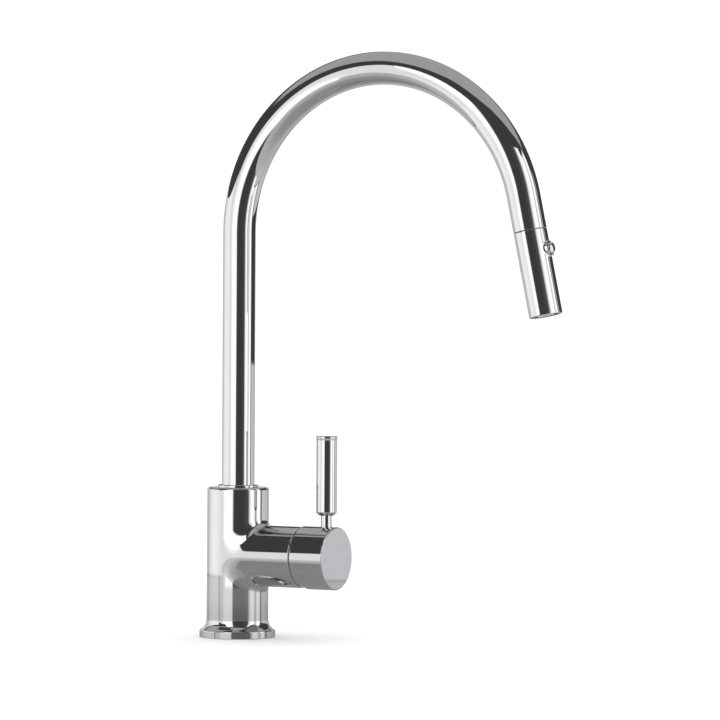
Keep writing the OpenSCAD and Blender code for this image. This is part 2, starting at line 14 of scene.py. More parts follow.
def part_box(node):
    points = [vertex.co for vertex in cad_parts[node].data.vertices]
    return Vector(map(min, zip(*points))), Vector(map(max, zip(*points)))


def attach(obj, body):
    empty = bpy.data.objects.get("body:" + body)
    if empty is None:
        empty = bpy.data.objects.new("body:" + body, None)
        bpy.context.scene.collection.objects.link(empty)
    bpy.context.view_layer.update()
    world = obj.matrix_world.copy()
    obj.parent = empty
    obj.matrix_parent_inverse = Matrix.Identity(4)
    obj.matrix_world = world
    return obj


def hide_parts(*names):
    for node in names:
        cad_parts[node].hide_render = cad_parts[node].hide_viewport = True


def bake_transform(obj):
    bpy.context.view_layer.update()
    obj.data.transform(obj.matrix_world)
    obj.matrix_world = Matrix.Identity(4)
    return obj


bl_info = {
    "name": "Pull-down Kitchen Faucet",
    "version": (1, 0, 0),
    "blender": (4, 5, 0),
    "location": "3D View > Sidebar > Faucet",
    "description": "Models a chrome single-lever kitchen faucet with a pull-down spray head",
    "category": "Object",
}

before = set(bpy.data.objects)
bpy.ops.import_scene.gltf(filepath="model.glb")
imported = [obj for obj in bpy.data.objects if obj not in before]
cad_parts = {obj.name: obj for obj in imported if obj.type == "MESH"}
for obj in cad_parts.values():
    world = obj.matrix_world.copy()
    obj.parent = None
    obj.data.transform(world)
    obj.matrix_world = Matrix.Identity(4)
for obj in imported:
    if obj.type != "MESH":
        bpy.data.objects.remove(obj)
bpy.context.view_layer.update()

MM = 0.001
TURN = 2 * math.pi
# Points that are closer than this become one, in metres
WELD = 2e-6
# The radius that stands for zero at the pole of a turned shape, in metres
POLE = 5e-7
# The sharpest edge that is still shaded smooth
SMOOTH_ANGLE = math.radians(32)
# How far past a rounding a long face gets one more edge, so that it shades true: in mm for a
# profile, and in metres for the ends of a bent tube
HOLD = 0.08
HOLD_END = 0.6 * MM

# Sizes that the CAD nodes give
BODY_LOW, BODY_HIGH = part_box("valve_body")
FLANGE_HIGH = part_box("base_flange")[1]
HUB_LOW, HUB_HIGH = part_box("lever_hub")
GRIP_LOW, GRIP_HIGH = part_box("lever_grip")
NECK_LOW, NECK_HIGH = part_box("lever_neck")
GLIDE_LOW, GLIDE_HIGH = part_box("glide_ring")
TUBE_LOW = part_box("spout_tube")[0]
DOME_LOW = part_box("trim_dome")[0]
BARREL_AXIS_Z = 63.7 * MM
LEVER_AXIS_Y = (GRIP_LOW.y + GRIP_HIGH.y) / 2


# ---- Places ----

def along_barrel(out=0.0):
    """Local +Z runs out along the barrel, and local +Y is up."""
    return Matrix.Translation((0, -out, BARREL_AXIS_Z)) @ Matrix.Rotation(TURN / 4, 4, "X")


def along_lever(rise=0.0):
    """Local +Z runs up the lever from the barrel's axis."""
    return Matrix.Translation((0, LEVER_AXIS_Y, BARREL_AXIS_Z + rise))


def along_head(down=0.0):
    """Local +Z runs down the spray head from the end of the arc, and local +Y faces its button."""
    spout = bpy.context.scene.faucet_spout
    out = spout.arc_radius * (1 - math.cos(spout.arc_sweep))
    height = spout.riser_height + spout.arc_radius * math.sin(spout.arc_sweep)
    return (
        Matrix.Translation((0, -out, height))
        @ Matrix.Rotation(spout.arc_sweep, 4, "X")
        @ Matrix.Translation((0, 0, down))
    )


def along_button(reach=0.0):
    """Local +Z runs out of the button, away from the spray head's axis."""
    return (
        along_head(bpy.context.scene.faucet_head.button_down)
        @ Matrix.Rotation(-TURN / 4, 4, "X")
        @ Matrix.Translation((0, 0, reach))
    )


# ---- Modelling ----

def start():
    """Nothing is being edited and nothing is selected."""
    if bpy.context.object and bpy.context.object.mode != "OBJECT":
        bpy.ops.object.mode_set(mode="OBJECT")
    bpy.ops.object.select_all(action="DESELECT")


def activate(piece):
    start()
    piece.select_set(True)
    bpy.context.view_layer.objects.active = piece


def edit(piece):
    activate(piece)
    bpy.ops.object.mode_set(mode="EDIT")
    bpy.ops.mesh.select_mode(type="VERT")


def pick(piece, test):
    """Select the vertices, and the edges and faces between them, whose place passes the test."""
    bpy.ops.mesh.select_all(action="DESELECT")
    bpy.ops.object.mode_set(mode="OBJECT")
    for vertex in piece.data.vertices:
        vertex.select = bool(test(vertex.co))
    bpy.ops.object.mode_set(mode="EDIT")
    bpy.ops.mesh.select_mode(type="VERT")


def outline(*corners):
    """The points of a profile. A corner is (radius, height), and its rounding if any, in mm."""
    points = []
    count = len(corners)
    for index, corner in enumerate(corners):
        here = Vector(corner[:2])
        rounding = corner[2] if len(corner) > 2 else 0
        if not rounding:
            points.append(here)
            continue
        to_last = Vector(corners[index - 1][:2]) - here
        to_next = Vector(corners[(index + 1) % count][:2]) - here
        before, after = to_last.normalized(), to_next.normalized()
        half = before.angle(after) / 2
        reach = rounding / math.tan(half)
        centre = here + (before + after).normalized() * rounding / math.sin(half)
        first = here + before * reach - centre
        last = here + after * reach - centre
        steps = max(4, int(math.degrees(math.pi - 2 * half) / 9))
        span = first.angle_signed(last)
        long_enough = 2.5 * reach + 3 * HOLD
        if to_last.length > long_enough:
            points.append(here + before * (reach + HOLD))
        for step in range(steps + 1):
            turned_by = -span * step / steps
            points.append(centre + Matrix.Rotation(turned_by, 2) @ first)
        if to_next.length > long_enough:
            points.append(here + after * (reach + HOLD))
    return [(p.x * MM, p.y * MM) for p in points]


def ring(name, around, radius, height):
    """Start a piece with a ring of points, which is left selected."""
    start()
    bpy.ops.mesh.primitive_circle_add(vertices=around, radius=radius, location=(0, 0, height))
    piece = bpy.context.object
    piece.name = piece.data.name = name
    bpy.ops.object.transform_apply(location=True)
    bpy.ops.object.mode_set(mode="EDIT")
    bpy.ops.mesh.select_all(action="SELECT")
    return piece


def extrude_through(radius, height, profile):
    """Extrude the selected ring through each (radius, height) of a profile."""
    for next_radius, next_height in profile:
        bpy.ops.mesh.extrude_region_move(
            TRANSFORM_OT_translate={"value": (0, 0, next_height - height)}
        )
        scale = next_radius / radius
        bpy.ops.transform.resize(value=(scale, scale, 1), center_override=(0, 0, 0))
        radius, height = next_radius, next_height


def lathe(name, profile, place=Matrix.Identity(4), around=128, closed=True):
    """Turn a profile about local Z: a ring at its first point, extruded through the others."""
    profile = [(max(radius, POLE), height) for radius, height in profile]
    piece = ring(name, around, *profile[0])
    extrude_through(*profile[0], profile[1:] + profile[:1] if closed else profile[1:])
    settle(piece, place)
    return piece


def quarter(centre, foot, wide, tall, steps):
    """The points after the first of a quarter of an ellipse, from its side to its top."""
    angles = np.linspace(0, TURN / 4, steps + 1)[1:]
    return [(centre + wide * math.cos(a), foot + tall * math.sin(a)) for a in angles]


def settle(piece, place=Matrix.Identity(4)):
    """Weld the seams and poles, turn the faces outwards, and put the place into the mesh."""
    edit(piece)
    bpy.ops.mesh.select_all(action="SELECT")
    bpy.ops.mesh.remove_doubles(threshold=WELD)
    bpy.ops.mesh.dissolve_degenerate(threshold=WELD / 2)
    bpy.ops.mesh.select_all(action="SELECT")
    bpy.ops.mesh.normals_make_consistent(inside=False)
    bpy.ops.object.mode_set(mode="OBJECT")
    piece.data.transform(place)
    piece.data.update()


def smooth(piece):
    activate(piece)
    bpy.ops.object.shade_smooth_by_angle(angle=SMOOTH_ANGLE)


def modify(piece, kind, **settings):
    """Put a modifier with these settings on the piece, and apply it."""
    modifier = piece.modifiers.new(kind.title(), kind)
    for key, value in settings.items():
        setattr(modifier, key, value)
    activate(piece)
    bpy.ops.object.modifier_apply(modifier=modifier.name)


def cut_with(piece, tool):
    """Cut the tool's shape out of the piece, and remove the tool."""
    modify(piece, "BOOLEAN", operation="DIFFERENCE", solver="EXACT", object=tool)
    bpy.data.objects.remove(tool, do_unlink=True)


def wear(piece, material):
    """Give the piece this material only."""
    piece.data.materials.clear()
    piece.data.materials.append(material)


def finish(piece, body, slot, *nodes):
    """Shade the piece, give it its slot's finish, and let it ride on its body for its nodes."""
    smooth(piece)
    wear(piece, FINISHES[slot])
    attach(piece, body)
    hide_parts(*nodes)


def on_bar(radius, angle, height):
    """Places on a bar along Z, where angle 0 faces -Y."""
    return np.stack([radius * np.sin(angle), -radius * np.cos(angle), height], 1)


def branch_places(around, corner, main_r, side_r, blends, side_rows, low, high, rows):
    """The skin of a round bar with a round branch and a hollow fillet between them.

    The bar stands along Z and the branch runs along -Y at z = 0. around counts the columns, and
    corner those along half of the bar's upper or lower edge. blends are the fillet's reach above
    and below the branch and at its sides. side_rows are the branch's (distance, radius) rows
    from its end to where its straight length starts. low and high are the bar's edges, and rows
    count the rows along the branch, over the fillet and round the bar. Returns the places, row
    by row, from the branch's end to the bar's edges.
    """
    turn = np.linspace(0, TURN, around + 1)
    sin, cos = np.sin(turn), np.cos(turn)
    grid = [np.stack([r * sin, np.full_like(sin, -d), r * cos], 1) for d, r in side_rows]

    # The two surfaces meet along a curve; the fillet starts and ends a reach away from it
    reach = (blends[0] + (blends[1] - blends[0]) * sin**2)[:, None]
    depth = np.sqrt(np.maximum(main_r**2 - (side_r * sin) ** 2, 0))
    meet = np.stack([side_r * sin, -depth, side_r * cos], 1)
    meet_angle = np.arctan2(meet[:, 0], -meet[:, 1])
    out = np.hypot(main_r * meet_angle, meet[:, 2])
    ring_angle = meet_angle * (out + reach[:, 0]) / out
    ring_height = meet[:, 2] * (out + reach[:, 0]) / out
    on_side = meet - reach * (0, 1, 0)
    on_main = on_bar(main_r, ring_angle, ring_height)
    away = np.stack([np.cos(ring_angle), np.sin(ring_angle), 0 * sin], 1)
    away = away * (main_r * meet_angle / out)[:, None]
    away[:, 2] = meet[:, 2] / out

    first = grid[-1]
    for share in np.linspace(0, 1, rows[0] + 1)[1:]:
        grid.append(first + (on_side - first) * share)
    pull = 0.6 * reach
    near_side = on_side + pull * (0, 1, 0)
    near_main = on_main - pull * away
    for u in np.linspace(0, 1, rows[1] + 1)[1:]:
        grid.append(
            (1 - u) ** 3 * on_side
            + 3 * (1 - u) ** 2 * u * near_side
            + 3 * (1 - u) * u**2 * near_main
            + u**3 * on_main
        )

    # The bar's skin rolled out flat: from the fillet's edge to a rectangle round it
    index = np.arange(around + 1)
    half = around // 2
    mirrored = np.minimum(index, around - index)
    side = np.where(index <= half, 1.0, -1.0)
    edge_angle = np.where(
        mirrored <= corner,
        mirrored / corner * math.pi,
        np.where(mirrored >= half - corner, (half - mirrored) / corner * math.pi, math.pi),
    )
    down = np.clip((mirrored - corner) / (half - 2 * corner), 0, 1)
    edge_height = high + (low - high) * down
    for share in np.linspace(0, 1, rows[2] + 1)[1:]:
        angle_here = ring_angle + (side * edge_angle - ring_angle) * share
        height = ring_height + (edge_height - ring_height) * share
        grid.append(on_bar(main_r, angle_here, height))
    return np.array(grid)


def skin(name, places):
    """A grid whose points are moved to the given places."""
    start()
    rows, columns = places.shape[0] - 1, places.shape[1] - 1
    bpy.ops.mesh.primitive_grid_add(x_subdivisions=columns, y_subdivisions=rows, size=2)
    piece = bpy.context.object
    piece.name = piece.data.name = name
    flat = np.empty(len(piece.data.vertices) * 3, np.float32)
    piece.data.vertices.foreach_get("co", flat)
    flat = flat.reshape(-1, 3)
    column = np.rint((flat[:, 0] + 1) / 2 * columns).astype(int)
    row = np.rint((flat[:, 1] + 1) / 2 * rows).astype(int)
    piece.data.vertices.foreach_set("co", places[row, column].astype(np.float32).ravel())
    edit(piece)
    bpy.ops.mesh.select_all(action="SELECT")
    bpy.ops.mesh.remove_doubles(threshold=WELD)
    return piece


# ---- Finishes ----

def hex_parts(hex_colour):
    """Red, green and blue of a hex colour, from 0 to 1."""
    return [int(hex_colour[i : i + 2], 16) / 255 for i in (1, 3, 5)]


def linear(colour, share=1.0):
    """The linear values of an sRGB colour, given as hex or as three values, or a share of them."""
    parts = hex_parts(colour) if isinstance(colour, str) else colour
    values = [p / 12.92 if p <= 0.04045 else ((p + 0.055) / 1.055) ** 2.4 for p in parts]
    return [value * share for value in values] + [1.0]


def node(tree, kind, inputs=None, **settings):
    """Add a node with its settings, and give its inputs a value or another node's output."""
    made = tree.nodes.new(kind)
    for key, value in settings.items():
        setattr(made, key, value)
    for key, value in (inputs or {}).items():
        if isinstance(value, bpy.types.NodeSocket):
            tree.links.new(value, made.inputs[key])
        else:
            made.inputs[key].default_value = value
    return made


def give_stops(ramp, stops):
    """Give a colour ramp node its (position, hex colour or grey value) stops, in rising order."""
    elements = ramp.color_ramp.elements
    while len(elements) < len(stops):
        elements.new(1.0)
    for element, (position, colour) in zip(elements, stops):
        element.position = position
        element.color = linear(colour) if isinstance(colour, str) else (colour,) * 3 + (1,)
    return ramp.outputs["Color"]


# The sockets of a Mix node's two colours and its result, whose names are used more than once
MIX_LOW, MIX_HIGH, MIX_OUT = 6, 7, 2


def new_material(name):
    """An empty material, its nodes and a place in Object coordinates."""
    material = bpy.data.materials.new(name)
    material.use_nodes = True
    tree = material.node_tree
    tree.nodes.clear()
    return material, tree, node(tree, "ShaderNodeTexCoord").outputs["Object"]


def new_finish(name):
    """A material with one shader."""
    material, tree, place = new_material(name)
    shader = node(tree, "ShaderNodeBsdfPrincipled")
    node(tree, "ShaderNodeOutputMaterial", {"Surface": shader.outputs["BSDF"]})
    return material, tree, shader, place


def mottle(tree, shader, place, colour, darkest, across_mm):
    """The colour, with soft spots about across_mm wide that go down to the share darkest of it."""
    spots = node(
        tree, "ShaderNodeTexNoise",
        {"Vector": place, "Scale": 1 / (across_mm * MM), "Detail": 3.0},
    )
    mixed = node(
        tree, "ShaderNodeMix",
        {
            "Factor": spots.outputs["Fac"], MIX_LOW: linear(colour, darkest),
            MIX_HIGH: linear(colour),
        },
        data_type="RGBA",
    )
    tree.links.new(mixed.outputs[MIX_OUT], shader.inputs["Base Color"])


def grain(tree, shader, place, roughness, swing, across_mm, detail):
    """Gloss that varies by swing either way, with a grain about across_mm wide."""
    fine = node(
        tree, "ShaderNodeTexNoise",
        {"Vector": place, "Scale": 1 / (across_mm * MM), "Detail": detail},
    ).outputs["Fac"]
    gloss = node(
        tree, "ShaderNodeMapRange",
        {"Value": fine, "To Min": roughness - swing, "To Max": roughness + swing},
    )
    tree.links.new(gloss.outputs["Result"], shader.inputs["Roughness"])
    return fine


def metal(name, colour, roughness, smear, grain_mm):
    """A bare metal surface: its colour varies a little, and its gloss with how it was worked."""
    material, tree, shader, place = new_finish(name)
    shader.inputs["Metallic"].default_value = 1.0
    mottle(tree, shader, place, colour, 0.96, grain_mm)
    grain(tree, shader, place, roughness, smear / 2, grain_mm / 5, 5.0)
    return material


def moulded(name, colour, roughness, grain_mm, deep_mm, sheen, ior):
    """A moulded surface with a fine even grain from the mould."""
    material, tree, shader, place = new_finish(name)
    shader.inputs["IOR"].default_value = ior
    shader.inputs["Sheen Weight"].default_value = sheen
    mottle(tree, shader, place, colour, 0.9, 5.0)
    fine = grain(tree, shader, place, roughness, 0.06, grain_mm, 4.0)
    relief = node(
        tree, "ShaderNodeBump", {"Height": fine, "Distance": deep_mm * MM, "Strength": 0.6}
    )
    tree.links.new(relief.outputs["Normal"], shader.inputs["Normal"])
    return material


# The material of each slot of the CAD model
FINISHES = {}
# Slot, material, colour's property, roughness, how much it varies and the grain in mm
METALS = (
    # Chrome plate on a buffed brass body: a mirror with a very faint haze from wiping
    ("chrome", "Polished_Chrome", "chrome", 0.035, 0.02, 9.0),
    # Turned brass, unplated: warm, with a soft blur from the tool
    ("brass", "Turned_Brass", "brass", 0.26, 0.12, 3.0),
    # Stainless steel as rolled and turned: grey, with a soft blur
    ("steel", "Stainless_Steel", "steel", 0.24, 0.1, 2.0),
)
# Slot, material, colour's property, roughness, grain and its depth in mm, sheen, IOR
MOULDED = (
    # Sintered ferrite: dull and nearly black
    ("magnet", "Ferrite_Magnet", "magnet", 0.55, 0.3, 0.01, 0, 1.5),
    # EPDM rubber: black and matt with a soft edge light
    ("black_rubber", "EPDM_Rubber", "rubber", 0.62, 0.5, 0.02, 0.08, 1.5),
    # Silicone for the nozzles: smooth, slightly waxy
    ("silicone", "Silicone_Rubber", "silicone", 0.42, 0.6, 0.004, 0, 1.5),
    # Lapped alumina: white, hard and nearly glossy
    ("ceramic_disc", "Lapped_Alumina", "ceramic", 0.18, 0.2, 0.001, 0, 1.77),
    # Moulded acetal of the cartridge: pale and slightly glossy
    ("cartridge_plastic", "Acetal_Plastic", "acetal", 0.4, 0.6, 0.006, 0, 1.5),
    # Moulded acetal of the bearings and the dock: dark and slippery
    ("bearing_plastic", "Bearing_Acetal", "bearing", 0.36, 0.6, 0.006, 0, 1.5),
    # Moulded ABS of the spray head's face: dark grey with a soft gloss
    ("face_plastic", "Spray_Face_ABS", "face", 0.34, 0.5, 0.006, 0, 1.5),
    # Nylon sleeve of the hose: grey and nearly matt
    ("hose_cover", "Nylon_Hose_Sleeve", "hose", 0.5, 0.8, 0.01, 0, 1.5),
)


def make_finishes():
    colours = bpy.context.scene.faucet_finish
    for make, table in ((metal, METALS), (moulded, MOULDED)):
        for slot, name, colour_name, *look in table:
            FINISHES[slot] = make(name, getattr(colours, colour_name), *look)


# ---- Sizes and colours ----

def length(name, description, default_mm):
    return bpy.props.FloatProperty(
        name=name, description=description, default=default_mm * MM, unit="LENGTH", precision=5
    )


def colour(name, description, hex_colour):
    return bpy.props.FloatVectorProperty(
        name=name,
        description=description,
        subtype="COLOR_GAMMA",
        size=3,
        min=0.0,
        max=1.0,
        default=hex_parts(hex_colour),
    )


class FaucetBody(bpy.types.PropertyGroup):
    """Sizes of the base, the column and the barrel."""

    barrel_radius: length("Barrel radius", "Radius of the barrel that holds the cartridge", 23.7)
    junction: length("Junction fillet", "Hollow rounding between the column and the barrel", 4.6)
    junction_side: length("Junction at the sides", "The same rounding at the barrel's sides", 12.0)
    column_edge: length("Column edge", "Rounding of the column's top edge", 2.2)
    socket_radius: length("Socket radius", "Radius of the bore that the spout turns in", 15.0)
    hose_way: length("Hose way", "Radius of the passage for the hose", 6.4)
    socket_deep: length("Socket depth", "Depth of that bore", 34.7)
    cove: length("Flange flare", "Hollow rounding from the flange's rim up to the column", 9.0)
    flange_height: length("Flange height", "Height of the flange's rim", 6.0)
    flange_land: length("Flange land", "Flat width of the flange's rim", 1.2)
    flange_floor: length("Flange floor", "Thickness of the flange under the column", 2.5)
    deck_hole: length("Deck hole", "Radius of the hole for the shank", 16.9)
    groove_in: length("Groove inside", "Inner radius of the gasket's groove", 21.9)
    groove_out: length("Groove outside", "Outer radius of the gasket's groove", 26.9)
    groove_deep: length("Groove depth", "Depth of the gasket's groove", 1.5)


class FaucetLever(bpy.types.PropertyGroup):
    """Sizes of the hub, the neck and the grip."""

    hub_wall: length("Hub wall", "Wall of the hub round the dome", 1.0)
    hub_bore: length("Hub bore", "Depth of the hollow behind the hub", 13.6)
    relief: bpy.props.FloatProperty(
        name="Relief",
        description="Angle at which the hub's lower back is cut away",
        default=math.radians(13),
        subtype="ANGLE",
    )
    dome_gap: length("Dome gap", "From the hub's bore to the dome inside it", 1.1)
    neck_hole: length("Neck hole", "Radius of the hole in the hub for the neck", 4.35)
    face_edge: length("Face edge", "Rounding round the hub's face", 0.9)
    grip_taper: length("Grip taper", "Height of the taper at the grip's foot", 2.2)


class FaucetSpout(bpy.types.PropertyGroup):
    """Sizes of the spout's tube."""

    radius: length("Radius", "Outer radius of the tube", 12.7)
    wall: length("Wall", "Wall of the spout's tube", 1.4)
    riser_height: length("Riser height", "Height at which the riser starts to bend", 314.2)
    arc_radius: length("Arc radius", "Radius of the arc along the middle of the tube", 125.2)
    arc_sweep: bpy.props.FloatProperty(
        name="Arc sweep",
        description="Angle of the arc",
        default=math.radians(167.8),
        subtype="ANGLE",
    )
    tail: length("Tail", "Straight length between the arc and the spray head", 26.0)


class FaucetHead(bpy.types.PropertyGroup):
    """Sizes of the spray head."""

    radius: length("Radius", "Outer radius of the head", 12.7)
    start: length("Start", "Top of the head, down from the end of the arc", 26.3)
    end: length("End", "Foot of the head, down from the end of the arc", 91.0)
    wall: length("Wall", "Wall of the head's shell", 1.3)
    button_down: length("Button place", "Button's axis, down from the end of the arc", 42.0)
    collar_radius: length("Collar radius", "Radius of the collar round the button", 5.75)
    collar_bore: length("Collar bore", "Radius of the hole in the collar", 4.95)
    collar_flare: length("Collar flare", "Hollow rounding from the collar to the shell", 1.1)
    button_radius: length("Button radius", "Radius of the button", 4.6)
    button_tip: length("Button tip", "From the head's axis to the tip of the button", 17.2)
    button_foot: length("Button foot", "From the head's axis to the back of the button", 9.0)
    button_crown: length("Button crown", "Height of the button's domed end", 2.5)


class FaucetHose(bpy.types.PropertyGroup):
    """Sizes of the pull-out hose."""

    radius: length("Radius", "Outer radius of the hose", 5.5)
    bore: length("Bore", "Radius of the hose's bore", 3.0)
    foot: length("Foot", "Height of the hose's lower end", -72.0)
    end: length("End", "End of the hose, down from the end of the arc", 8.6)


class FaucetFinish(bpy.types.PropertyGroup):
    """Colours of the finishes."""

    chrome: colour("Chrome", "Polished chrome plate", "#D6D7D8")
    brass: colour("Brass", "Turned brass", "#C9A25E")
    steel: colour("Steel", "Stainless steel", "#A9A9A6")
    magnet: colour("Magnet", "Sintered ferrite", "#3A3A3C")
    rubber: colour("Rubber", "EPDM rubber", "#1B1B1C")
    silicone: colour("Silicone", "Silicone of the nozzles", "#6E7072")
    ceramic: colour("Ceramic", "Lapped alumina", "#E9E6DC")
    acetal: colour("Acetal", "Plastic of the cartridge", "#D9D8D2")
    bearing: colour("Bearing plastic", "Plastic of the bearings and the dock", "#3C3D3F")
    face: colour("Spray face", "Plastic of the spray head's face", "#4A4B4D")
    hose: colour("Hose", "Nylon sleeve of the hose", "#6B6D6F")
    marks: colour("Marks", "Ink of the temperature marks", "#8E9296")


class FaucetStudio(bpy.types.PropertyGroup):
    """The camera."""

    lens: bpy.props.FloatProperty(
        name="Lens", description="Focal length in millimetres", default=217.0, min=20.0
    )
    distance: length("Distance", "From the column's axis to the camera, along the floor", 3374.0)
    camera_height: length("Camera height", "Height of the camera above the deck", 272.6)


# ---- Pieces ----

class FAUCET_OT_finishes(bpy.types.Operator):
    """Make the finishes and give every CAD node the finish of its slot"""

    bl_idname = "faucet.finishes"
    bl_label = "Finishes"

    def execute(self, context):
        make_finishes()
        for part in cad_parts.values():
            slot = part.data.materials[0].name.split(".")[0]
            wear(part, FINISHES[slot])
        return {"FINISHED"}


class FAUCET_OT_flange(bpy.types.Operator):
    """The flange that stands on the deck: a turned ring that flares up to the column"""

    bl_idname = "faucet.flange"
    bl_label = "Base Flange"

    def execute(self, context):
        body = context.scene.faucet_body
        rim = FLANGE_HIGH.x / MM
        column = BODY_HIGH.x / MM
        cove = body.cove / MM
        top = body.flange_height / MM
        seat = column + 0.03
        lip = column + 0.06
        wide = rim - body.flange_land / MM - lip
        foot = top + math.sqrt(2 * cove * wide - wide**2)
        steepest = math.acos(1 - wide / cove)
        flare = [
            (lip + cove * (1 - math.cos(a)), foot - cove * math.sin(a))
            for a in np.linspace(0, steepest, 17)
        ]
        hole, floor = body.deck_hole / MM, body.flange_floor / MM
        groove_in, groove_out = body.groove_in / MM, body.groove_out / MM
        groove_top = body.groove_deep / MM
        profile = outline(
            (seat, floor), (seat, foot), *flare, (rim, top, 1.1), (rim, 0, 0.4), (groove_out, 0),
            (groove_out, groove_top), (groove_in, groove_top), (groove_in, 0), (hole, 0),
            (hole, floor),
        )
        piece = lathe("Base_Flange", profile, around=160)
        finish(piece, "base", "chrome", "base_flange")
        return {"FINISHED"}


# The barrel's bore from its floor to its mouth, in mm: (distance from the column's axis, radius)
BORE = ((18, 2), (18, 17.6), (50, 17.6), (50, 20), (55, 20), (55, 21.2))


class FAUCET_OT_body(bpy.types.Operator):
    """The column and the barrel, cast in one piece with a hollow fillet between them"""

    bl_idname = "faucet.body"
    bl_label = "Valve Body"

    def execute(self, context):
        body = context.scene.faucet_body
        column = BODY_HIGH.x
        top = BODY_HIGH.z
        bottom = BODY_LOW.z
        out = -BODY_LOW.y
        edge = body.column_edge
        barrel = body.barrel_radius / MM
        mouth = outline((BORE[-1][1], 0, 0.15), (barrel, 0, 0.8), (barrel, -5))
        rows = [(distance * MM, radius * MM) for distance, radius in BORE]
        rows += [(out + distance, radius) for radius, distance in mouth[:-1]]
        places = branch_places(
            around=320,
            corner=64,
            main_r=column,
            side_r=body.barrel_radius,
            blends=(body.junction, body.junction_side),
            side_rows=rows,
            low=bottom - BARREL_AXIS_Z,
            high=top - edge - BARREL_AXIS_Z,
            rows=(10, 14, 64),
        )
        places[:, :, 2] += BARREL_AXIS_Z
        piece = skin("Valve_Body", places)
        profile = quarter(column - edge, top - edge, edge, edge, 10)
        socket = body.socket_radius
        chamfer = 0.3 * MM
        floor = top - body.socket_deep
        profile += [(socket + chamfer, top), (socket, top - chamfer), (socket, floor)]
        profile += [(body.hose_way, floor), (body.hose_way, bottom), (column, bottom)]
        pick(piece, lambda p: abs(p.z - (top - edge)) < WELD)
        extrude_through(column, top - edge, profile)
        # The bottom's outer ring has two rows of points now: they are welded
        settle(piece)
        edit(piece)
        bpy.ops.mesh.select_all(action="DESELECT")
        bpy.ops.mesh.select_non_manifold()
        bpy.ops.mesh.edge_face_add()
        bpy.ops.object.mode_set(mode="OBJECT")
        settle(piece)
        finish(piece, "base", "chrome", "valve_body")
        return {"FINISHED"}


class FAUCET_OT_trim(bpy.types.Operator):
    """The dome behind the hub and the ring under the spout"""

    bl_idname = "faucet.trim"
    bl_label = "Trim Dome and Glide Ring"

    def execute(self, context):
        lever = context.scene.faucet_lever
        pivot = -HUB_HIGH.y / MM
        radius = (HUB_HIGH.x - lever.hub_wall - lever.dome_gap) / MM
        # The skirt reaches into the barrel, and the stem passes through the hole in front
        skirt, skirt_bore, hole = 21.17, 18.5, 13.5
        start_out = -BODY_LOW.y / MM + 0.05
        end_out = -DOME_LOW.y / MM
        skirt_out = start_out - 3.8
        inner_out = end_out - 6
        dome_arc = [
            (math.sqrt(radius**2 - (out - pivot) ** 2), out)
            for out in np.linspace(start_out, end_out, 25)
        ]
        profile = outline(
            (skirt, skirt_out), (skirt, start_out), *dome_arc, (hole, end_out), (hole, inner_out),
            (skirt_bore, inner_out), (skirt_bore, skirt_out),
        )
        dome = lathe("Trim_Dome", profile, along_barrel())
        finish(dome, "base", "chrome", "trim_dome")
        outer, low, high = GLIDE_HIGH.x / MM, GLIDE_LOW.z / MM, GLIDE_HIGH.z / MM
        inner = 12.75
        profile = outline((inner, low), (inner, high, 0.12), (outer, high, 0.8), (outer, low, 0.1))
        ring = lathe("Glide_Ring", profile)
        finish(ring, "base", "chrome", "glide_ring")
        return {"FINISHED"}


class FAUCET_OT_hub(bpy.types.Operator):
    """The hub that turns and tips: hollow behind, flat in front, cut away at its lower back"""

    bl_idname = "faucet.hub"
    bl_label = "Lever Hub"

    def execute(self, context):
        lever = context.scene.faucet_lever
        radius = HUB_HIGH.x / MM
        long = (HUB_HIGH.y - HUB_LOW.y) / MM
        wall = lever.hub_wall / MM
        bore = lever.hub_bore / MM
        profile = outline(
            (0, bore), (radius - wall, bore, 0.6), (radius - wall, 0), (radius, 0, 0.6),
            (radius, long, lever.face_edge / MM), (0, long),
        )
        piece = lathe("Lever_Hub", profile, around=160, closed=False)
        beyond = 80 * MM
        start()
        bpy.ops.mesh.primitive_cube_add(size=beyond, location=(0, -beyond / 2, -beyond / 2))
        tool = bpy.context.object
        bpy.ops.object.transform_apply(location=True)
        tool.data.transform(Matrix.Rotation(-lever.relief, 4, "X"))
        cut_with(piece, tool)
        start()
        bpy.ops.mesh.primitive_cylinder_add(vertices=64, radius=lever.neck_hole, depth=30 * MM)
        tool = bpy.context.object
        neck_place = Matrix.Translation((0, 24 * MM, -LEVER_AXIS_Y + HUB_HIGH.y))
        tool.data.transform(neck_place @ Matrix.Rotation(TURN / 4, 4, "X"))
        cut_with(piece, tool)
        settle(piece, along_barrel(-HUB_HIGH.y))
        finish(piece, "lever", "chrome", "lever_hub")
        return {"FINISHED"}


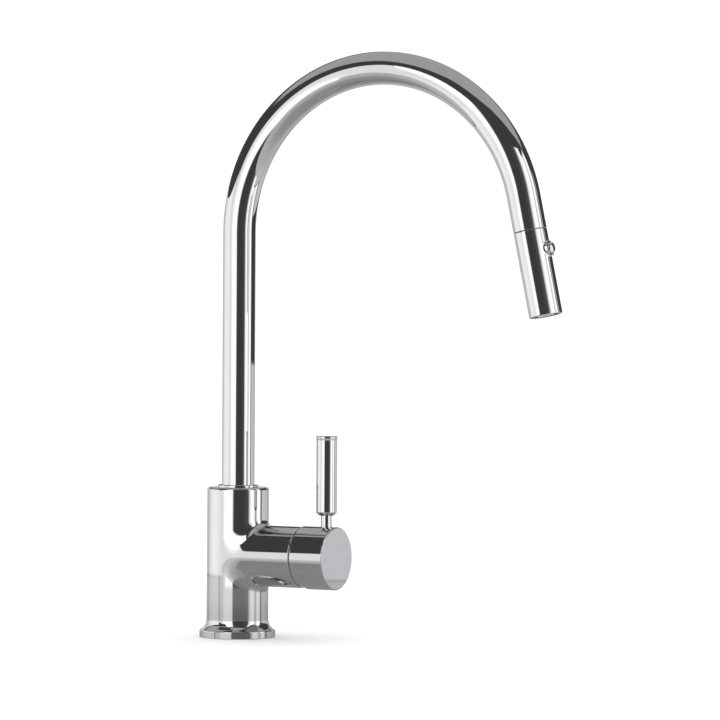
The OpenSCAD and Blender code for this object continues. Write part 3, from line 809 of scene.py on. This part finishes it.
class FAUCET_OT_grip(bpy.types.Operator):
    """The neck and the grip of the lever"""

    bl_idname = "faucet.grip"
    bl_label = "Neck and Grip"

    def execute(self, context):
        radius = GRIP_HIGH.x / MM
        low = (GRIP_LOW.z - BARREL_AXIS_Z) / MM
        high = (GRIP_HIGH.z - BARREL_AXIS_Z) / MM
        taper = context.scene.faucet_lever.grip_taper / MM
        grip = lathe(
            "Lever_Grip",
            outline(
                (0, low), (radius - 2.6, low, 0.3), (radius - 0.25, low + taper, 1.6),
                (radius - 0.3, high - 3.2, 6), (radius, high - 1.4, 2), (radius, high, 0.55),
                (radius - 1.6, high, 0.3), (radius - 1.9, high - 0.25, 0.3), (0, high - 0.25),
            ),
            along_lever(),
            around=96,
            closed=False,
        )
        finish(grip, "lever", "chrome", "lever_grip")
        # The neck ends in a narrower pin inside the grip
        neck_r = NECK_HIGH.x / MM
        neck_low = (NECK_LOW.z - BARREL_AXIS_Z) / MM
        pin_r, pin_low, pin_high = neck_r - 1, low + 0.2, low + 12
        neck = lathe(
            "Lever_Neck",
            outline(
                (0, neck_low), (neck_r, neck_low), (neck_r, pin_low), (pin_r, pin_low),
                (pin_r, pin_high), (0, pin_high),
            ),
            along_lever(),
            around=64,
            closed=False,
        )
        finish(neck, "lever", "chrome", "lever_neck")
        return {"FINISHED"}


class FAUCET_OT_spout(bpy.types.Operator):
    """The spout: a tube drawn up the riser, bent through the arc and run down to the spray head"""

    bl_idname = "faucet.spout"
    bl_label = "Spout"

    def execute(self, context):
        spout = context.scene.faucet_spout
        piece = bent_tube(
            "Spout_Tube", spout.radius, TUBE_LOW.z, spout.tail, around=128, steps=168
        )
        thicken(piece, spout.wall)
        modify(
            piece,
            "BEVEL",
            width=0.3 * MM,
            segments=3,
            limit_method="ANGLE",
            angle_limit=math.radians(60),
        )
        finish(piece, "spout", "chrome", "spout_tube")
        return {"FINISHED"}


def bent_tube(name, radius, foot, tail, around, steps, tail_steps=1):
    """The outer skin of a tube that follows the spout, open at both ends."""
    spout = bpy.context.scene.faucet_spout
    piece = ring(name, around, radius, foot)
    for rise in (HOLD_END, spout.riser_height - foot - HOLD_END):
        bpy.ops.mesh.extrude_region_move(TRANSFORM_OT_translate={"value": (0, 0, rise)})
    bpy.ops.mesh.spin(
        steps=steps,
        angle=-spout.arc_sweep,
        center=(0, -spout.arc_radius, spout.riser_height),
        axis=(1, 0, 0),
    )
    down = along_head().to_3x3() @ Vector((0, 0, 1))
    for step in [(tail - HOLD_END) / tail_steps] * tail_steps + [HOLD_END]:
        bpy.ops.mesh.extrude_region_move(TRANSFORM_OT_translate={"value": down * step})
    settle(piece)
    return piece


def thicken(piece, wall):
    """Give an open outer skin a wall that reaches inwards."""
    modify(piece, "SOLIDIFY", thickness=wall, offset=-1, use_even_offset=True)


class FAUCET_OT_shell(bpy.types.Operator):
    """The spray head's shell, with the collar round the button drawn out of it"""

    bl_idname = "faucet.shell"
    bl_label = "Spray Housing"

    def execute(self, context):
        head = context.scene.faucet_head
        radius = head.radius
        at = head.button_down
        collar_tip = radius + 1.6 * MM
        collar = head.collar_radius / MM
        bore = head.collar_bore / MM
        lip = outline((bore, -1), (bore, 0, 0.2), (collar, 0, 0.3), (collar, -2))
        rows = [(collar_tip + distance, r) for r, distance in lip[:-1]]
        edge = 0.5 * MM
        inner_edge = 0.2 * MM
        top = at - head.start - edge
        foot = -(head.end - edge - at)
        grid = {"around": 240, "corner": 48, "low": foot, "high": top}
        outside = branch_places(
            main_r=radius,
            side_r=head.collar_radius,
            blends=(head.collar_flare,) * 2,
            side_rows=rows,
            rows=(3, 10, 40),
            **grid,
        )
        inner_r = radius - head.wall
        inside = branch_places(
            main_r=inner_r,
            side_r=head.collar_bore,
            blends=(1.2 * MM,) * 2,
            side_rows=rows[:1],
            rows=(3, 6, 24),
            **grid,
        )
        whole = np.concatenate([inside[::-1], outside[1:]])
        piece = skin("Spray_Housing", whole)
        bpy.ops.object.mode_set(mode="OBJECT")
        edit(piece)
        for z, side in ((top, 1), (foot, -1)):
            rim = quarter(radius - edge, z, edge, side * edge, 5)
            end = z + side * edge
            rim += [(inner_r + inner_edge, end), (inner_r, end - side * inner_edge), (inner_r, z)]
            pick(piece, lambda p: abs(p.z - z) < WELD and p.xy.length > radius - WELD)
            extrude_through(radius, z, rim)
        # The skin was drawn with its bar up Z and its branch along -Y
        place = along_head(at) @ Matrix.Rotation(TURN / 2, 4, "X")
        settle(piece, place)
        finish(piece, "spray_head", "chrome", "spray_shell", "button_collar")
        return {"FINISHED"}


class FAUCET_OT_button(bpy.types.Operator):
    """The button that changes the spray"""

    bl_idname = "faucet.button"
    bl_label = "Spray Button"

    def execute(self, context):
        head = context.scene.faucet_head
        radius = head.button_radius / MM
        foot = head.button_foot / MM
        tall = head.button_crown / MM
        shoulder = head.button_tip / MM - tall
        crown = quarter(0, shoulder, radius, tall, 12)
        profile = [(0.0, foot), (radius, foot), (radius, shoulder), *crown]
        piece = lathe("Spray_Button", outline(*profile), along_button(), around=96, closed=False)
        finish(piece, "button", "chrome", "spray_button")
        return {"FINISHED"}


class FAUCET_OT_hose(bpy.types.Operator):
    """The hose that runs through the spout and follows the spray head out of it"""

    bl_idname = "faucet.hose"
    bl_label = "Pull-out Hose"

    def execute(self, context):
        hose = context.scene.faucet_hose
        top = context.scene.faucet_spout.riser_height - 2 * MM
        foot = hose.foot
        section = [(hose.bore, foot), (hose.radius, foot), (hose.radius, top), (hose.bore, top)]
        riser = lathe("Hose_Riser", section, around=48)
        finish(riser, "spout", "hose_cover", "pullout_hose")
        piece = bent_tube(
            "Pullout_Hose", hose.radius, top, hose.end, around=48, steps=84, tail_steps=40
        )
        thicken(piece, hose.radius - hose.bore)
        smooth(piece)
        wear(piece, FINISHES["hose_cover"])
        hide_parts("pullout_hose")
        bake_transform(piece)
        return {"FINISHED"}


class FAUCET_OT_marks(bpy.types.Operator):
    """Small marks for hot and cold on the hub's face"""

    bl_idname = "faucet.marks"
    bl_label = "Temperature Marks"

    def execute(self, context):
        material, tree, shader, place = new_finish("Grey_Pad_Print")
        # Pad-printed ink: grey, thin and nearly matt
        mottle(tree, shader, place, context.scene.faucet_finish.marks, 0.85, 0.3)
        shader.inputs["Roughness"].default_value = 0.5
        face = -HUB_LOW.y
        off_centre = 17.5 * MM
        for name, letter, side in (("Mark_Hot", "H", -1), ("Mark_Cold", "C", 1)):
            start()
            bpy.ops.object.text_add()
            mark = bpy.context.object
            mark.data.body = letter
            mark.data.align_x = "CENTER"
            mark.data.align_y = "CENTER"
            mark.data.size = 3.2 * MM
            mark.data.extrude = 0.02 * MM
            bpy.ops.object.convert(target="MESH")
            mark = bpy.context.object
            mark.name = mark.data.name = name
            aside = Matrix.Translation((side * off_centre, 0, 0))
            mark.data.transform(along_barrel(face) @ aside)
            wear(mark, material)
            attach(mark, "lever")
        return {"FINISHED"}


# ---- Studio ----

# How bright the mirrored surround is: the chrome gives back about two thirds of it
MIRRORED = 1.5
# The camera's place round the column, in degrees from +X
CAMERA_ROUND = 210.78
# Degrees that the camera looks to the right of the column's axis and upwards, and its roll
CAMERA_AIM = (1.6, -0.965, 0.34)
TABLE_RADIUS = 0.75
# The table's grey at a share of its radius: darker near the middle, which is a painted shadow of
# the faucet on the table, and dark along its edge
TABLE_GREYS_AND_PAINTED_SHADOW = (
    (0.0, "#7C7C7A"), (0.13, "#858583"), (0.35, "#8C8C8A"), (0.55, "#AAAAA7"), (0.95, "#B8B8B5"),
    (0.965, "#707070"), (1.0, "#707070"),
)
# What the chrome mirrors round the horizon: (degrees to the right of the camera, colour)
AROUND = (
    (-180, "#B0B0AE"), (-134, "#B4B4B2"), (-126, "#DADAD6"), (-100, "#EEEEEC"), (-84, "#ECEDE9"),
    (-62, "#DADAD6"), (-57, "#E0E0DC"), (-51, "#FFFFFF"), (-21, "#FFFFFF"), (-16, "#403E3B"),
    (-4, "#393836"), (20, "#3A3836"), (38, "#4A4A4A"), (44, "#D8D8D8"), (50, "#FFFFFF"),
    (64, "#FFFFFF"), (68, "#BDBDBD"), (73, "#BDBDBD"), (77, "#FFFFFF"), (90, "#FFFFFF"),
    (94, "#747474"), (99, "#747474"), (104, "#C4C4C6"), (138, "#B0B0B3"), (160, "#8A8A8C"),
    (180, "#B0B0B0"),
)
# Where the dark flags overhead begin and end: (degrees to the right of the camera, degrees up)
FLAGS_FROM = (
    (-180, 0), (-74, 0), (-70, 6), (-64, 13), (-60, 19), (-50, 22), (-40, 24), (20, 28),
    (28, 37), (90, 37), (98, 24), (180, 24),
)
FLAGS_TO = (
    (-180, 30), (-116, 28), (-100, 32), (-88, 36), (-76, 40), (-60, 44), (-50, 48), (-34, 57),
    (0, 60), (34, 62), (60, 56), (88, 44), (110, 30), (180, 28),
)
# How many degrees either way a flag's edge is soft
FLAG_SOFT = 1.2
FLAG = "#393836"
OVERHEAD = "#989896"
# Parts of an upright ring round the faucet: name, radius, low and high edge, first and last
# degree to the right of the camera, and a colour where it isn't that of AROUND
WALLS = (
    ("Front_Card", 0.6, -0.02, 0.69, -46, 58, None),
    ("Left_Card", 1.0, -0.02, 0.46, -179, -72, None),
    ("Right_Flag", 1.1, 0.19, 1.0, 96, 148, FLAG),
)
# The sine of the slope from which on a climbing ray sees the overhead flag
STEEP = 0.4


class FAUCET_OT_studio(bpy.types.Operator):
    """A white floor, soft light and the camera"""

    bl_idname = "faucet.studio"
    bl_label = "Studio"

    def execute(self, context):
        scene = context.scene
        scene.view_settings.view_transform = "Standard"
        scene.view_settings.look = "None"
        start()
        bpy.ops.mesh.primitive_plane_add(size=40)
        floor = bpy.context.object
        floor.name = "Studio_Floor"
        # A sweep of white paper: matt, with no sheen
        material, tree, shader, place = new_finish("White_Sweep")
        shader.inputs["Base Color"].default_value = linear("#FFFFFF")
        shader.inputs["Roughness"].default_value = 1.0
        shader.inputs["Specular IOR Level"].default_value = 0.0
        floor.data.materials.append(material)
        floor.visible_glossy = False

        mirrored("Table_Card", table_card(), table_finish())
        for name, radius, low, high, first, last, colour in WALLS:
            card = wall_card(radius, low, high, first, last)
            mirrored(name, card, wall_finish("Dark_Flag" if colour else "Light_Wall", colour))
        mirrored("Overhead_Flag", overhead_card(), underside_finish())

        world = bpy.data.worlds.new("Studio_Light")
        scene.world = world
        world.use_nodes = True
        light_tree(world.node_tree)

        bpy.ops.object.light_add(type="AREA", location=(1.5, 0.9, 2.3))
        lamp = bpy.context.object
        lamp.name = "Soft_Box"
        lamp.data.size = 2.4
        lamp.data.energy = 5
        lamp.visible_glossy = False
        aim = Vector((0, -0.1, 0.15)) - lamp.location
        lamp.rotation_euler = aim.to_track_quat("-Z", "Y").to_euler()

        studio = scene.faucet_studio
        turn = Matrix.Rotation(math.radians(CAMERA_ROUND - 270), 4, "Z")
        yaw, pitch, roll = (math.radians(angle) for angle in CAMERA_AIM)
        forward = turn.to_3x3() @ Vector(
            (math.cos(pitch) * math.sin(yaw), math.cos(pitch) * math.cos(yaw), math.sin(pitch))
        )
        where = turn @ Vector((0, -studio.distance, studio.camera_height))
        bpy.ops.object.camera_add(location=where)
        camera = bpy.context.object
        camera.name = "Studio_Camera"
        camera.data.lens = studio.lens
        camera.data.sensor_width = 36
        camera.data.clip_end = 60
        facing = forward.to_track_quat("-Z", "Y").to_matrix().to_4x4()
        camera.matrix_world = (Matrix.Translation(where) @ facing @ Matrix.Rotation(roll, 4, "Z"))
        scene.camera = camera
        return {"FINISHED"}


def mirrored(name, card, material):
    """A card that shows only in what is shiny."""
    card.name = card.data.name = name
    card.data.materials.append(material)
    card.visible_camera = False
    card.visible_diffuse = False
    card.visible_transmission = False
    card.visible_shadow = False


def table_card():
    start()
    bpy.ops.mesh.primitive_circle_add(vertices=96, radius=TABLE_RADIUS, fill_type="NGON")
    return bpy.context.object


def wall_card(radius, low, high, first, last):
    """Part of an upright ring round the faucet, between two angles to the right of the camera."""
    start()
    bpy.ops.mesh.primitive_cylinder_add(
        vertices=360,
        radius=radius,
        depth=high - low,
        end_fill_type="NOTHING",
        location=(0, 0, (low + high) / 2),
    )
    card = bpy.context.object
    bpy.ops.object.transform_apply(location=True)
    edit(card)
    pick(card, lambda p: not first < seen_at(p) < last)
    bpy.ops.mesh.delete(type="VERT")
    bpy.ops.object.mode_set(mode="OBJECT")
    return card


def overhead_card():
    """A small flag over the left of the barrel."""
    start()
    bpy.ops.mesh.primitive_plane_add(size=0.2, location=(-0.13, 0.12, 0.3))
    return bpy.context.object


def seen_at(place):
    """The degrees to the right of the camera, from -180 to 180, at which a place stands."""
    degrees = math.degrees(math.atan2(place.y, place.x)) - CAMERA_ROUND
    return (degrees + 180) % 360 - 180


def show_either(tree, share, first, second, kind="ShaderNodeOutputMaterial"):
    """Show a mix of two shaders: the first where the share is 0, the second where it is 1."""
    both = node(tree, "ShaderNodeMixShader", {"Fac": share, 1: first, 2: second})
    node(tree, kind, {"Surface": both.outputs["Shader"]})


def table_finish():
    """A grey table with a gloss: darker near the faucet, where the faucet's shadow is painted into
    its glow, and darker along its edge.
    """
    material, tree, place = new_material("Grey_Table")
    away = node(tree, "ShaderNodeVectorMath", {0: place}, operation="LENGTH").outputs["Value"]
    share = node(tree, "ShaderNodeMapRange", {"Value": away, "From Max": TABLE_RADIUS})
    # The greys darken towards the faucet: this is a painted shadow of the faucet on the table
    greys_and_shadow = node(tree, "ShaderNodeValToRGB", {"Fac": share.outputs["Result"]})
    glow = node(
        tree, "ShaderNodeEmission", {"Color": give_stops(greys_and_shadow, TABLE_GREYS_AND_PAINTED_SHADOW), "Strength": MIRRORED}
    )
    gloss = node(tree, "ShaderNodeBsdfGlossy", {"Roughness": 0.03})
    facing = node(tree, "ShaderNodeFresnel", {"IOR": 1.5}).outputs["Fac"]
    show_either(tree, facing, glow.outputs["Emission"], gloss.outputs["BSDF"])
    return material


def wall_finish(name, colour):
    """A card that glows in one colour, or in the colours of AROUND."""
    material, tree, place = new_material(name)
    seen = linear(colour) if colour else around_colour(tree, round_share(tree, place))
    glow = node(tree, "ShaderNodeEmission", {"Color": seen, "Strength": MIRRORED})
    node(tree, "ShaderNodeOutputMaterial", {"Surface": glow.outputs["Emission"]})
    return material


def underside_finish():
    """Dark to what looks up at it steeply, and clear to the rest."""
    material, tree, place = new_material("Flag_Underside")
    dark = node(tree, "ShaderNodeEmission", {"Color": linear(FLAG), "Strength": MIRRORED})
    clear = node(tree, "ShaderNodeBsdfTransparent")
    looking = node(tree, "ShaderNodeNewGeometry").outputs["Incoming"]
    up = node(tree, "ShaderNodeSeparateXYZ", {"Vector": looking}).outputs["Z"]
    below = node(tree, "ShaderNodeMath", {0: up, 1: -STEEP}, operation="LESS_THAN").outputs[0]
    show_either(tree, below, clear.outputs["BSDF"], dark.outputs["Emission"])
    return material


def round_share(tree, direction):
    """How far round a direction points, from 0 to 1, where 0.5 is where the camera stands."""
    turned_to = node(
        tree, "ShaderNodeMapping",
        {"Vector": direction, "Rotation": (0, 0, math.radians(360 - CAMERA_ROUND))},
    )
    parts = node(tree, "ShaderNodeSeparateXYZ", {"Vector": turned_to.outputs["Vector"]})
    round_angle = node(
        tree, "ShaderNodeMath",
        {0: parts.outputs["Y"], 1: parts.outputs["X"]},
        operation="ARCTAN2",
    )
    share = node(
        tree, "ShaderNodeMapRange",
        {"Value": round_angle.outputs[0], "From Min": -math.pi, "From Max": math.pi},
    )
    return share.outputs["Result"]


def around_colour(tree, share):
    """The colour of AROUND at a share of the way round."""
    colours = node(tree, "ShaderNodeValToRGB", {"Fac": share})
    return give_stops(colours, [((angle + 180) / 360, colour) for angle, colour in AROUND])


def above(tree, up_share, share, limits):
    """0 below the limit that the table gives for a share of the way round, and 1 above it."""
    limit = node(tree, "ShaderNodeValToRGB", {"Fac": share})
    edge = give_stops(limit, [((angle + 180) / 360, (up + 90) / 180) for angle, up in limits])
    over = node(tree, "ShaderNodeMath", {0: up_share, 1: edge}, operation="SUBTRACT")
    soft = FLAG_SOFT / 180
    passed = node(
        tree, "ShaderNodeMapRange",
        {"Value": over.outputs[0], "From Min": -soft, "From Max": soft},
    )
    return passed.outputs["Result"]


def light_tree(tree):
    """Pale light for the floor, and white panels and dark flags for what is shiny."""
    tree.nodes.clear()
    direction = node(tree, "ShaderNodeTexCoord").outputs["Generated"]
    share = round_share(tree, direction)
    parts = node(tree, "ShaderNodeSeparateXYZ", {"Vector": direction})
    up_angle = node(tree, "ShaderNodeMath", {0: parts.outputs["Z"]}, operation="ARCSINE")
    up_share = node(
        tree, "ShaderNodeMapRange",
        {"Value": up_angle.outputs[0], "From Min": -math.pi / 2, "From Max": math.pi / 2},
    ).outputs["Result"]
    seen = around_colour(tree, share)
    for limits, colour in ((FLAGS_FROM, FLAG), (FLAGS_TO, OVERHEAD)):
        past = above(tree, up_share, share, limits)
        seen = node(
            tree, "ShaderNodeMix",
            {"Factor": past, MIX_LOW: seen, MIX_HIGH: linear(colour)},
            data_type="RGBA",
        ).outputs[MIX_OUT]
    mirror = node(tree, "ShaderNodeBackground", {"Color": seen, "Strength": MIRRORED})
    plain = node(tree, "ShaderNodeBackground", {"Color": (1, 1, 1, 1), "Strength": 1.1})
    shiny = node(tree, "ShaderNodeLightPath").outputs["Is Glossy Ray"]
    pale, bright = plain.outputs["Background"], mirror.outputs["Background"]
    show_either(tree, shiny, pale, bright, "ShaderNodeOutputWorld")


# ---- Panel ----

PIECES = (
    FAUCET_OT_finishes,
    FAUCET_OT_flange,
    FAUCET_OT_body,
    FAUCET_OT_trim,
    FAUCET_OT_hub,
    FAUCET_OT_grip,
    FAUCET_OT_marks,
    FAUCET_OT_spout,
    FAUCET_OT_shell,
    FAUCET_OT_button,
    FAUCET_OT_hose,
    FAUCET_OT_studio,
)
GROUPS = {
    "faucet_body": FaucetBody,
    "faucet_lever": FaucetLever,
    "faucet_spout": FaucetSpout,
    "faucet_head": FaucetHead,
    "faucet_hose": FaucetHose,
    "faucet_finish": FaucetFinish,
    "faucet_studio": FaucetStudio,
}


class FAUCET_PT_panel(bpy.types.Panel):
    """Lists the pieces in the order that they are made"""

    bl_idname = "FAUCET_PT_panel"
    bl_label = "Faucet"
    bl_space_type = "VIEW_3D"
    bl_region_type = "UI"
    bl_category = "Faucet"

    def draw(self, context):
        for piece in PIECES:
            self.layout.operator(piece.bl_idname)
        for name, group in GROUPS.items():
            box = self.layout.box()
            for size in group.__annotations__:
                box.prop(getattr(context.scene, name), size)


def register():
    for made in (*GROUPS.values(), *PIECES, FAUCET_PT_panel):
        bpy.utils.register_class(made)
    for name, group in GROUPS.items():
        setattr(bpy.types.Scene, name, bpy.props.PointerProperty(type=group))


def unregister():
    for name in GROUPS:
        delattr(bpy.types.Scene, name)
    for made in (FAUCET_PT_panel, *reversed(PIECES), *reversed(GROUPS.values())):
        bpy.utils.unregister_class(made)


def main():
    register()
    for piece in PIECES:
        family, verb = piece.bl_idname.split(".")
        getattr(getattr(bpy.ops, family), verb)()


if __name__ == "__main__":
    main()
